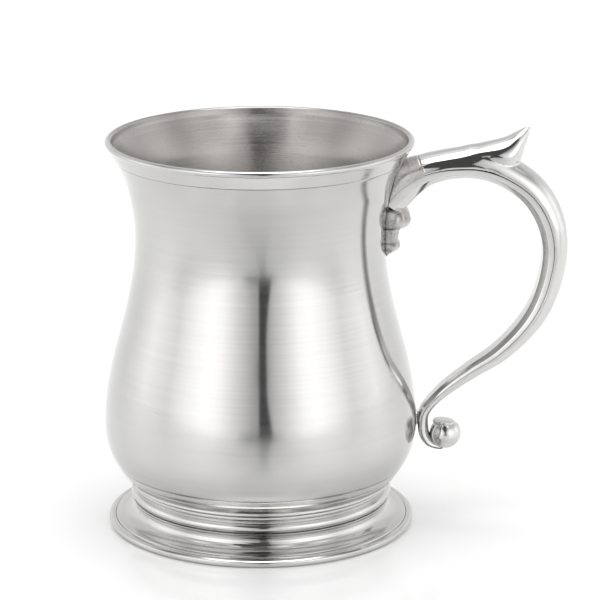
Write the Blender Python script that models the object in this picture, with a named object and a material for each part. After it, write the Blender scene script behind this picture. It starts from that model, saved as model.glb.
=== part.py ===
"""A lidless pewter bell tankard with a hollow scroll handle, as separate soldered pieces.

Outlines are in millimetres on the vessel's own axis, Z up, with the handle toward +X.
The whole tankard hangs from one empty, which puts the middle of its box over the origin.
"""
import math

import bmesh
import bpy
from mathutils import Vector

MM = 0.001

# Driving dimensions, mm.
RIM_HEIGHT = 122.0
WALL = 1.5
FLOOR_TOP = 16.0
CUP_TOP = 20.0
CUP_BOTTOM = 13.7
RING_LINE = 116.0
LAP = 2.4
GAP = 0.3
SEAM = 0.15
UNDERSIDE = CUP_BOTTOM - 0.1
LIP = 0.95
LIP_HEIGHT = RIM_HEIGHT - 0.9
BAND_PROUD = 0.1
FOOT_RADIUS = 47.65
FOOT_BORE = 36.5
COLLAR_TOP = CUP_BOTTOM - 0.4
COLLAR_BOTTOM = 8.25
BULGE_CENTRE = (39.3, 9.8)
THROAT_CENTRE = (43.4, 5.9)
FLANGE_EDGE = 45.6
FLANGE_TOP = 2.5
FILLET = 1.6
SHELL_WALL = 1.2
THINNEST = 0.35
FULLNESS = 0.85
BALL_RADIUS = 5.1
BALL_X, BALL_Z = 57.3, 27.6
STUD_RADIUS = 1.7
STUD_Z = 32.6
STUD_END = 49.05
SOLDER = 0.5
HANDLE_REACH = 94.7
TURNS = 48
STEPS_PER_SPAN = 3

# The bell's outer line: height, radius, and how fast the radius grows with height.
BELL = (
    (13.7, 40.6, 0.68),
    (20.0, 45.2, 0.65),
    (32.5, 48.57, 0.0),
    (58.0, 44.46, -0.278),
    (91.5, 38.47, 0.0),
    (108.0, 40.8, 0.244),
    (119.0, 45.97, 0.59),
)

# The handle's side seam: x, z, depth behind it, depth in front of it, half width.
HANDLE = (
    (38.9, 101.7, 4.0, 4.9, 4.9),
    (41.6, 105.3, 6.0, 5.4, 5.2),
    (45.6, 108.8, 6.7, 4.9, 5.9),
    (50.2, 111.4, 5.4, 4.1, 6.3),
    (55.0, 112.7, 5.2, 3.6, 6.5),
    (60.8, 113.2, 5.8, 3.2, 6.5),
    (67.5, 112.9, 6.9, 3.2, 6.5),
    (75.3, 110.2, 6.0, 3.2, 6.4),
    (83.1, 104.7, 5.6, 3.5, 6.3),
    (88.2, 96.6, 5.1, 3.6, 6.1),
    (90.1, 87.5, 4.6, 3.4, 5.9),
    (88.9, 77.9, 4.5, 3.1, 5.7),
    (85.9, 68.9, 4.3, 3.0, 5.4),
    (81.0, 61.2, 3.9, 2.8, 5.1),
    (73.6, 53.9, 3.5, 2.4, 4.8),
    (66.1, 49.0, 3.2, 1.9, 4.4),
    (58.2, 43.2, 2.8, 1.6, 4.0),
    (53.2, 38.4, 2.3, 1.3, 3.7),
    (50.5, 34.4, 2.1, 1.2, 3.5),
    (50.0, 30.4, 1.9, 1.0, 3.4),
    (50.6, 26.9, 1.8, 0.9, 3.2),
    (52.5, 24.1, 1.6, 0.7, 2.8),
    (55.2, 23.0, 1.3, 0.6, 2.2),
    (57.2, 22.8, 1.2, 0.5, 1.6),
)
SHELL_START = 3.0

# The thumb rest, root to tip: x and z of its front line, x and z of its back line, half width.
THUMB_REST = (
    (58.0, 117.6, 58.0, 114.8, 5.6),
    (63.0, 119.0, 64.5, 114.6, 6.1),
    (68.0, 120.2, 70.0, 113.6, 6.2),
    (72.0, 121.1, 75.8, 112.4, 6.1),
    (75.5, 122.4, 79.4, 114.4, 5.2),
    (78.5, 124.0, 80.7, 118.2, 3.7),
    (80.9, 125.2, 81.8, 121.8, 1.9),
    (82.3, 125.5, 82.6, 125.0, 0.35),
)
SCROLL_END = len(HANDLE) - 1.5

# The drop under the upper joint: height, half width, and reach from the vessel's axis.
DROP = (
    (98.3, 4.7, 44.2),
    (97.8, 5.5, 45.5),
    (96.8, 5.75, 46.2),
    (95.2, 5.4, 45.6),
    (94.2, 4.4, 43.9),
    (93.7, 3.5, 43.1),
    (90.0, 3.3, 42.4),
    (89.1, 3.8, 43.0),
    (88.2, 4.0, 43.0),
    (86.3, 2.5, 41.2),
    (85.1, 0.8, 39.5),
)
# The film of solder behind the joint: height and half width.
SOLDER_FILM = (
    (113.8, 4.6), (110.0, 5.4), (103.0, 5.2), (99.3, 4.9), (97.0, 5.7), (94.4, 4.8),
    (93.5, 3.8), (89.8, 3.5), (88.0, 4.0), (86.0, 2.6), (84.7, 1.0),
)


def clear_scene():
    for item in list(bpy.data.objects):
        bpy.data.objects.remove(item, do_unlink=True)


def pewter(name, shade, roughness):
    """A plain pewter finish; shade is its grey."""
    material = bpy.data.materials.new(name)
    material.use_nodes = True
    shader = material.node_tree.nodes["Principled BSDF"]
    shader.inputs["Base Color"].default_value = (shade, shade, shade * 0.98, 1.0)
    shader.inputs["Metallic"].default_value = 1.0
    shader.inputs["Roughness"].default_value = roughness
    return material


def add_object(name, bm, root, material=None):
    """Turn a bmesh in millimetres into a smooth-shaded object in metres under the root empty."""
    bmesh.ops.scale(bm, vec=(MM, MM, MM), verts=bm.verts)
    bmesh.ops.recalc_face_normals(bm, faces=bm.faces)
    mesh = bpy.data.meshes.new(name)
    bm.to_mesh(mesh)
    bm.free()
    mesh.shade_smooth()
    mesh.set_sharp_from_angle(angle=math.radians(35))
    item = bpy.data.objects.new(name, mesh)
    bpy.context.scene.collection.objects.link(item)
    item.parent = root
    if material:
        mesh.materials.append(material)
    return item


def add_cutter(name, bm, root):
    """Add a hidden solid that only shapes other pieces."""
    item = add_object(name, bm, root)
    item.hide_render = True
    item.display_type = "WIRE"
    return item


def shape_with(item, tool, operation):
    """Cut, join or intersect a piece with another one."""
    modifier = item.modifiers.new(tool.name, "BOOLEAN")
    modifier.object = tool
    modifier.operation = operation
    modifier.solver = "EXACT"


def turned(outline, closed=True):
    """Spin an outline of (radius, height) points round the vessel's axis."""
    bm = bmesh.new()
    points = [bm.verts.new((radius, 0.0, height)) for radius, height in outline]
    edges = [bm.edges.new(pair) for pair in zip(points, points[1:])]
    if closed:
        edges.append(bm.edges.new((points[-1], points[0])))
    bmesh.ops.spin(
        bm, geom=points + edges, cent=(0, 0, 0), axis=(0, 0, 1),
        angle=2 * math.pi, steps=TURNS, use_merge=True,
    )
    bmesh.ops.remove_doubles(bm, verts=bm.verts, dist=1e-4)
    return bm


def loft(rings):
    """Skin equal rings of points into one closed body, with flat ends."""
    bm = bmesh.new()
    rows = [[bm.verts.new(point) for point in ring] for ring in rings]
    for row, following in zip(rows, rows[1:]):
        for i in range(len(row)):
            j = (i + 1) % len(row)
            bm.faces.new((row[i], row[j], following[j], following[i]))
    bm.faces.new(rows[0])
    bm.faces.new(rows[-1])
    return bm


def hermite(start, end, slope_start, slope_end, length, t):
    """A cubic from start to end with the given slopes."""
    a = 2 * t**3 - 3 * t**2 + 1
    b = t**3 - 2 * t**2 + t
    c = t**3 - t**2
    return a * start + b * length * slope_start + (1 - a) * end + c * length * slope_end


def bell_radius(height):
    """The bell's outer radius at a height."""
    spans = list(zip(BELL, BELL[1:]))
    low, high = next((s for s in spans if height <= s[1][0]), spans[-1])
    length = high[0] - low[0]
    return hermite(low[1], high[1], low[2], high[2], length, (height - low[0]) / length)


def heights(low, high, count):
    return [low + (high - low) * i / (count - 1) for i in range(count)]


def body_wall(root):
    """The spun bell wall, with half its thickness lapped at both ends."""
    half = WALL / 2 - SEAM / 2
    outer = [(bell_radius(z), z) for z in heights(RING_LINE - GAP / 2, CUP_TOP + GAP / 2, 22)]
    inner = [(bell_radius(z) - WALL, z) for z in heights(CUP_TOP + LAP + GAP, RING_LINE + LAP, 14)]
    top = RING_LINE + LAP
    spigot = [(bell_radius(z) - WALL + half, z) for z in (top, RING_LINE - GAP / 2)]
    skirt = [(bell_radius(z) - half, z) for z in (CUP_TOP + GAP / 2, CUP_TOP + LAP + GAP)]
    bm = turned(outer + skirt + inner + spigot)
    return add_object("body_wall", bm, root, pewter("satin_pewter", 0.60, 0.42))


def mouth_ring(root):
    """The reinforced mouth: a skirt that laps the wall, and a rounded lip."""
    half = WALL / 2 - SEAM / 2
    bottom, shoulder = RING_LINE + GAP / 2, RING_LINE + LAP + GAP
    lip_centre, rise = bell_radius(LIP_HEIGHT) - LIP, RIM_HEIGHT - LIP_HEIGHT
    outer = [(bell_radius(z) + BAND_PROUD, z) for z in heights(bottom, LIP_HEIGHT - 0.5, 4)]
    crown = [
        (lip_centre + LIP * math.cos(a), LIP_HEIGHT + rise * math.sin(a))
        for a in (math.radians(d) for d in (0, 45, 90, 135, 180))
    ]
    inner = [(bell_radius(z) - WALL, z) for z in (RIM_HEIGHT - 2.4, shoulder)]
    skirt = [(bell_radius(z) - half, z) for z in (shoulder, bottom)]
    bm = turned(outer + crown + inner + skirt)
    return add_object("mouth_ring", bm, root, pewter("polished_pewter", 0.66, 0.2))


def base_cup(root):
    """The bottom of the vessel: floor and turned-in side, with a spigot into the wall."""
    half = WALL / 2 - SEAM / 2
    floor = [(0.0, FLOOR_TOP), (35.5, FLOOR_TOP), (39.2, FLOOR_TOP + 0.8)]
    side = [(bell_radius(z) - WALL, z) for z in (CUP_TOP - 1.4, CUP_TOP + LAP)]
    spigot = [(bell_radius(z) - WALL + half, z) for z in (CUP_TOP + LAP, CUP_TOP - GAP / 2)]
    outer = [(bell_radius(z), z) for z in heights(CUP_TOP - GAP / 2, CUP_BOTTOM, 6)]
    under = [(38.6, UNDERSIDE), (0.0, UNDERSIDE)]
    bm = turned(floor + side + spigot + outer + under, closed=False)
    return add_object("base_cup", bm, root, pewter("base_pewter", 0.62, 0.3))


def base_solder(root):
    """The fillet of solder inside the foot, under the floor."""
    top, reach = COLLAR_TOP, FOOT_BORE - GAP
    outline = [(reach, top), (reach, top - FILLET), (reach - 0.7, top - 0.5), (reach - FILLET, top)]
    return add_object("base_solder", turned(outline), root, pewter("solder", 0.55, 0.5))


def foot_collar(root):
    """The upper moulding of the foot: a small bead over a full half-round."""
    centre_r, centre_z = BULGE_CENTRE
    bulge = [
        (centre_r + 1.35 * math.sin(a), centre_z - 1.5 * math.cos(a))
        for a in (math.radians(d) for d in (150, 115, 85, 55, 25))
    ]
    bead = [(38.9, COLLAR_TOP), (39.7, 12.8), (39.9, 12.2), (39.5, 11.6)]
    bottom = COLLAR_BOTTOM + GAP / 2
    outline = bead + bulge + [(39.4, bottom), (FOOT_BORE, bottom), (FOOT_BORE, COLLAR_TOP)]
    return add_object("foot_collar", turned(outline), root, pewter("collar_pewter", 0.66, 0.18))


def foot_spread(root):
    """The hollow of the foot and the flange that it spreads into."""
    top = COLLAR_BOTTOM - GAP / 2
    centre_r, centre_z = THROAT_CENTRE
    throat = [
        (centre_r - 4.2 * math.cos(a), centre_z - 3.1 * math.sin(a))
        for a in (math.radians(d) for d in (0, 25, 50, 70, 90))
    ]
    outer = [(40.2, top), (39.6, 7.2)] + throat + [(FLANGE_EDGE, FLANGE_TOP)]
    under = [(FLANGE_EDGE, 1.2), (43.0, 1.3), (39.4, 2.2), (37.4, 4.6), (FOOT_BORE, top)]
    return add_object("foot_spread", turned(outer + under), root, pewter("foot_pewter", 0.66, 0.2))


def foot_edge(root):
    """The wire round the foot's edge, which carries the tankard."""
    lap, step = FLANGE_EDGE + 0.2, 0.9
    outline = [
        (lap, 2.3), (46.4, 2.35), (47.2, 2.0), (FOOT_RADIUS, 1.2), (47.5, 0.4), (47.0, 0.0),
        (43.6, 0.0), (43.4, step), (lap, step),
    ]
    return add_object("foot_edge", turned(outline), root, pewter("edge_pewter", 0.66, 0.2))


def catmull(points, t):
    """A smooth curve through points; t counts them."""
    i = min(int(t), len(points) - 2)
    u = t - i
    near = [points[max(0, min(len(points) - 1, i + k))] for k in (-1, 0, 1, 2)]
    result = []
    for a, b, c, d in zip(*near):
        result.append(
            0.5 * (2 * b + (c - a) * u + (2 * a - 5 * b + 4 * c - d) * u**2
                   + (3 * b - a - 3 * c + d) * u**3)
        )
    return result


def handle_frame(t):
    """The seam point, the outward direction and the section's sizes at t."""
    x, z, back, front, half = catmull(HANDLE, t)
    ahead = catmull(HANDLE, min(t + 0.05, len(HANDLE) - 1.0))
    behind = catmull(HANDLE, max(t - 0.05, 0.0))
    along = Vector((ahead[0] - behind[0], 0.0, ahead[1] - behind[1])).normalized()
    outward = Vector((-along.z, 0.0, along.x))
    return Vector((x, 0.0, z)), outward, back, front, half


def spans(start, end):
    """Even steps along the handle."""
    count = max(2, round((end - start) * STEPS_PER_SPAN) + 1)
    return [start + (end - start) * i / (count - 1) for i in range(count)]


def sweep(start, end, section):
    """Carry a section, (across, outward) points, along the handle."""
    rings = []
    for t in spans(start, end):
        seam, outward, back, front, half = handle_frame(t)
        rings.append(
            [seam + outward * n + Vector((0.0, v, 0.0)) for v, n in section(t, back, front, half)]
        )
    return loft(rings)


def arch(half, rise, count=9, start=SEAM):
    """The rounded back of the handle, from one seam over to the other."""
    line = []
    for i in range(count):
        a = math.pi * i / (count - 1)
        line.append((half * math.cos(a), start + (rise - start) * max(0.0, math.sin(a)) ** FULLNESS))
    return line


def shell_section(t, back, front, half):
    hollow = max(back - SHELL_WALL, THINNEST)
    return arch(half, back) + arch(half - SHELL_WALL, hollow, 7)[::-1]


def strip_section(t, back, front, half):
    """The inner strip: bevelled sides, a flat face, and a tongue that lies inside the shell."""
    tongue = half - SHELL_WALL - GAP
    lift = min(0.7, 0.45 * max(back - SHELL_WALL, THINNEST)) if t > SHELL_START + 0.3 else 0.0
    return [
        (half, -SEAM), (half * 0.94, -front * 0.5), (half * 0.6, -front),
        (-half * 0.6, -front), (-half * 0.94, -front * 0.5), (-half, -SEAM),
        (-tongue, -SEAM), (-tongue * 0.5, lift - SEAM), (tongue * 0.5, lift - SEAM), (tongue, -SEAM),
    ]


def thumb_rest(root):
    """The thumb rest: a leaf that lifts off the crest and runs back to a point."""
    rings = []
    for front_x, front_z, back_x, back_z, half in THUMB_REST:
        front, back = Vector((front_x, 0.0, front_z)), Vector((back_x, 0.0, back_z))
        middle, reach = (front + back) / 2, (front - back) / 2
        rings.append([
            middle + reach * math.cos(a) + Vector((0.0, half * math.sin(a), 0.0))
            for a in (2 * math.pi * i / 12 for i in range(12))
        ])
    return add_cutter("rest_form", loft(rings), root)


def handle_back(root):
    """The outer half of the hollow handle, with its thumb rest."""
    item = add_object(
        "handle_back", sweep(SHELL_START, SCROLL_END, shell_section), root,
        pewter("handle_pewter", 0.70, 0.12),
    )
    shape_with(item, thumb_rest(root), "UNION")
    return item


def handle_front(root, near_body):
    """The inner strip that closes the handle, from the body to the scroll."""
    item = add_object(
        "handle_front", sweep(0.0, SCROLL_END, strip_section), root, pewter("strip_pewter", 0.68, 0.18)
    )
    shape_with(item, near_body, "DIFFERENCE")
    return item


def handle_root(root, near_body):
    """The cast block at the upper joint, with a tenon up the hollow handle."""
    def block(t, back, front, half):
        return arch(half - 0.15, back - 0.2)

    def tenon(t, back, front, half):
        return arch(half - SHELL_WALL - GAP, back - SHELL_WALL - GAP, start=SEAM + 0.6)

    item = add_object(
        "handle_root", sweep(0.8, SHELL_START - 0.06, block), root, pewter("cast_pewter", 0.62, 0.5)
    )
    form = add_cutter("tenon_form", sweep(SHELL_START - 0.5, SHELL_START + 0.7, tenon), root)
    shape_with(item, form, "UNION")
    shape_with(item, near_body, "DIFFERENCE")
    return item


def rounded_ring(inner, outer, half, height, count=16):
    """A level ring with full corners, between two distances from the axis."""
    middle, reach = (inner + outer) / 2, (outer - inner) / 2
    ring = []
    for i in range(count):
        a = 2 * math.pi * (i + 0.5) / count
        bulge = (abs(math.cos(a)) ** 4 + abs(math.sin(a)) ** 4) ** -0.25
        ring.append((middle + reach * bulge * math.cos(a), half * bulge * math.sin(a), height))
    return ring


def handle_drop(root, near_body):
    """The moulded drop that stiffens the upper joint: roll, stem and bead."""
    rings = [rounded_ring(34.0, reach, half, z) for z, half, reach in DROP]
    item = add_object("handle_drop", loft(rings), root, pewter("drop_pewter", 0.62, 0.45))
    shape_with(item, near_body, "DIFFERENCE")
    return item


def upper_solder(root, at_body, near_solder):
    """The layer of solder between the body and the pieces of the upper joint."""
    rings = [rounded_ring(30.0, 52.0, half, z) for z, half in SOLDER_FILM]
    item = add_object(
        "upper_solder", loft(rings), root, pewter("joint_solder", 0.55, 0.55),
    )
    shape_with(item, near_solder, "INTERSECT")
    shape_with(item, at_body, "DIFFERENCE")
    return item


def handle_ball(root):
    """The ball that the scroll ends in, seated on the scroll's tail."""
    def seat(t, back, front, half):
        reach, depth = back + GAP, front + GAP
        return [(half + GAP, reach), (half + GAP, -depth), (-half - GAP, -depth), (-half - GAP, reach)]

    bm = bmesh.new()
    bmesh.ops.create_uvsphere(bm, u_segments=20, v_segments=12, radius=BALL_RADIUS)
    bmesh.ops.translate(bm, verts=bm.verts, vec=(BALL_X, 0.0, BALL_Z))
    item = add_object("handle_ball", bm, root, pewter("ball_pewter", 0.70, 0.12))
    form = add_cutter("seat_form", sweep(SCROLL_END - 3.0, SCROLL_END + 0.2, seat), root)
    shape_with(item, form, "DIFFERENCE")
    return item


def plug(start, end, radius, count=16):
    """A round bar at the stud's height that points away from the body."""
    angles = [2 * math.pi * i / count for i in range(count)]
    return loft([
        [(x, radius * math.cos(a), STUD_Z + radius * math.sin(a)) for a in angles] for x in (start, end)
    ])


def lower_stud(root, at_body):
    """The short stud that stands the scroll off the belly."""
    item = add_object(
        "lower_stud", plug(44.0, STUD_END, STUD_RADIUS), root, pewter("stud_pewter", 0.6, 0.4)
    )
    shape_with(item, at_body, "DIFFERENCE")
    return item


def main():
    clear_scene()
    root = bpy.data.objects.new("tankard", None)
    bpy.context.scene.collection.objects.link(root)
    root.location.x = -(HANDLE_REACH - bell_radius(32.5)) / 2 * MM
    bodies = []
    for name, clearance in (("at_body", 0.12), ("near_solder", SOLDER), ("near_body", SOLDER + 0.15)):
        line = [(bell_radius(z) + clearance, z) for z in heights(RIM_HEIGHT, CUP_BOTTOM, 60)]
        bm = turned([(20.0, RIM_HEIGHT)] + line + [(20.0, CUP_BOTTOM)])
        bodies.append(add_cutter(name, bm, root))
    at_body, near_solder, near_body = bodies
    body_wall(root)
    mouth_ring(root)
    base_cup(root)
    base_solder(root)
    foot_collar(root)
    foot_spread(root)
    foot_edge(root)
    handle_root(root, near_body)
    handle_drop(root, near_body)
    handle_front(root, near_body)
    handle_back(root)
    handle_ball(root)
    lower_stud(root, at_body)
    upper_solder(root, at_body, near_solder)


main()
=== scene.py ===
"""A lidless pewter bell tankard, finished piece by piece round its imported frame.

Outlines are in the maker's millimetres on the vessel's own axis, Z up, with the handle toward +X.
Draught places them in the frame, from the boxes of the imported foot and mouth.
"""
from __future__ import annotations

import logging
import math
from dataclasses import dataclass, field
from enum import Enum
from typing import Callable, Sequence

import bmesh
import bpy
import numpy as np
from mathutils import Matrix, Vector


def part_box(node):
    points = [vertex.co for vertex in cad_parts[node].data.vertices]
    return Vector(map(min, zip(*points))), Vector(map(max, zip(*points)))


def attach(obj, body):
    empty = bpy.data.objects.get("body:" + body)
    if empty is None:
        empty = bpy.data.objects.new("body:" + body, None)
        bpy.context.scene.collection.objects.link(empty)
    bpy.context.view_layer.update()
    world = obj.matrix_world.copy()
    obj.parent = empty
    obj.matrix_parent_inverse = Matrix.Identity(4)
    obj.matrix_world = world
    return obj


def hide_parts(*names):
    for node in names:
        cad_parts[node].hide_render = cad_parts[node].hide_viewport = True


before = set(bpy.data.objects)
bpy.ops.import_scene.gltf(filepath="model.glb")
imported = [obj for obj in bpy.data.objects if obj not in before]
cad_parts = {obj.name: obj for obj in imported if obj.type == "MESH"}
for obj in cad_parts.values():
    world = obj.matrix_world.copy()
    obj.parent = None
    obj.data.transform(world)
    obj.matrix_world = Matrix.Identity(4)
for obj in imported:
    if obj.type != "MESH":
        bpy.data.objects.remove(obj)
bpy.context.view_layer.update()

LOG = logging.getLogger("tankard")
RIM_HEIGHT = 122.0
BODY = "root"
MERGE_DISTANCE = 1e-7
SHARP_ANGLE = math.radians(40)

Item = bpy.types.Object
Socket = bpy.types.NodeSocket
Pair = tuple[float, float]
Row4 = tuple[float, float, float, float]
Rows = tuple[tuple[float, ...], ...]
Stations = Sequence[Sequence[float]]


# --- Curves and outlines ---


def catmull(stations: Stations, t: float) -> list[float]:
    """Read a smooth curve through stations.

    Args:
        stations: rows of equal length, one for each station.
        t: place along the curve, counted in stations.

    Returns:
        The interpolated row.
    """
    i = min(int(t), len(stations) - 2)
    u = t - i
    rows = [stations[max(0, min(len(stations) - 1, i + k))] for k in (-1, 0, 1, 2)]
    weights = (
        0.5 * (-u + 2 * u**2 - u**3),
        0.5 * (2 - 5 * u**2 + 3 * u**3),
        0.5 * (u + 4 * u**2 - 3 * u**3),
        0.5 * (u**3 - u**2),
    )
    return [sum(w * value for w, value in zip(weights, column)) for column in zip(*rows)]


def filleted(corners: Stations, steps: int = 5) -> list[Pair]:
    """Round the corners of an open outline.

    Args:
        corners: rows of x, y and the corner's radius.
        steps: points on each rounded corner.

    Returns:
        The outline's points, with an arc at each corner whose radius is over zero.
    """
    result: list[Pair] = []
    for i, (x, y, radius) in enumerate(corners):
        here = Vector((x, y))
        if radius <= 0 or i in (0, len(corners) - 1):
            result.append((x, y))
            continue
        before = Vector(corners[i - 1][:2]) - here
        after = Vector(corners[i + 1][:2]) - here
        room = 0.48 * min(before.length, after.length)
        reach = min(radius / math.tan(before.angle(after) / 2), room)
        start, end = here + before.normalized() * reach, here + after.normalized() * reach
        for k in range(steps):
            s = k / (steps - 1)
            point = start * (1 - s) ** 2 + here * (2 * s * (1 - s)) + end * s**2
            result.append((point.x, point.y))
    return result


def circle(count: int) -> np.ndarray:
    """Angles evenly spaced round a full turn."""
    return np.linspace(0, 2 * math.pi, count, endpoint=False)


def spun(outline: np.ndarray, angles: np.ndarray) -> np.ndarray:
    """Copies of an outline of radius and height, one at each angle round the axis."""
    return np.stack([np.outer(np.cos(angles), outline[:, 0]), np.outer(np.sin(angles), outline[:, 0]),
                     np.tile(outline[:, 1], (len(angles), 1))], axis=-1)


def even(low: float, high: float, count: int) -> list[float]:
    """Count values from low to high, evenly spaced."""
    return [low + (high - low) * i / (count - 1) for i in range(count)]


def smoothstep(value: float, low: float, high: float) -> float:
    """Zero below low, one above high, and a smooth ramp between."""
    s = min(1.0, max(0.0, (value - low) / (high - low)))
    return s * s * (3 - 2 * s)


@dataclass(frozen=True)
class Bell:
    """The bell's outer line: height, radius and how fast the radius grows with height."""

    stations: Rows = (
        (13.7, 40.6, 0.68),
        (20.0, 45.2, 0.65),
        (32.5, 48.57, 0.0),
        (58.0, 44.46, -0.278),
        (91.5, 38.47, 0.0),
        (108.0, 40.8, 0.244),
        (119.0, 45.97, 0.59),
    )

    def radius(self, height: float) -> float:
        """The outer radius at a height.

        Args:
            height: height over the table.

        Returns:
            The radius, from a cubic between the stations on either side.
        """
        pairs = list(zip(self.stations, self.stations[1:]))
        low, high = next((p for p in pairs if height <= p[1][0]), pairs[-1])
        length = high[0] - low[0]
        t = (height - low[0]) / length
        a = 2 * t**3 - 3 * t**2 + 1
        slopes = (t**3 - 2 * t**2 + t) * low[2] + (t**3 - t**2) * high[2]
        return a * low[1] + (1 - a) * high[1] + length * slopes

    def line(self, low: float, high: float, count: int, inset: float = 0.0) -> list[Pair]:
        """Points of radius and height along the outline, at an inset from the outer surface."""
        return [(self.radius(z) - inset, z) for z in even(low, high, count)]


# --- Finishes ---

SMUDGE_SCALE = 38.0
SPECK_SCALE = 900.0
CAST_SCALE = 420.0
WORN_TONE = (0.93, 0.93, 0.92, 1.0)
MARK_DEPTH = 0.0001
LEAST_ROUGHNESS = 0.02
QUARTER_TURN = 0.25


class Grain(Enum):
    """How a finish was worked: turned on the lathe, or left as cast."""

    TURNED = "turned"
    CAST = "cast"


class Nodes:
    """A material and a thin layer over its node tree, for short and readable graphs."""

    def __init__(self, name: str) -> None:
        """Make a material with its Principled shader."""
        self.material = bpy.data.materials.new(name)
        self.material.use_nodes = True
        self.tree = self.material.node_tree
        self.shader = self.tree.nodes["Principled BSDF"]

    def add(self, kind: str, inputs: dict | None = None, **settings: object) -> bpy.types.Node:
        """Add a node.

        Args:
            kind: the node's type without its ShaderNode prefix.
            inputs: socket name or number to a value, or to another node's socket.
            settings: attributes of the node itself.

        Returns:
            The new node.
        """
        node = self.tree.nodes.new("ShaderNode" + kind)
        for name, value in settings.items():
            setattr(node, name, value)
        for name, value in (inputs or {}).items():
            if isinstance(value, Socket):
                self.tree.links.new(value, node.inputs[name])
            else:
                node.inputs[name].default_value = value
        return node

    def link(self, source: Socket, name: str) -> None:
        """Feed one of the shader's sockets."""
        self.tree.links.new(source, self.shader.inputs[name])

    def math(self, operation: str, *values: object) -> Socket:
        """A Math node's result for values or sockets."""
        return self.add("Math", dict(enumerate(values)), operation=operation).outputs[0]

    def spread(self, source: Socket, low: float, high: float,
               start: float = 0.3, end: float = 0.7) -> Socket:
        """Map a source from start..end to low..high, clamped."""
        inputs = {"Value": source, "From Min": start, "From Max": end, "To Min": low, "To Max": high}
        return self.add("MapRange", inputs).outputs[0]

    def noise(self, place: Socket, scale: float, detail: float = 3.0,
              rough: float = 0.55) -> Socket:
        """A noise texture's value at a place."""
        inputs = {"Vector": place, "Scale": scale, "Detail": detail, "Roughness": rough}
        return self.add("TexNoise", inputs).outputs["Fac"]


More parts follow.
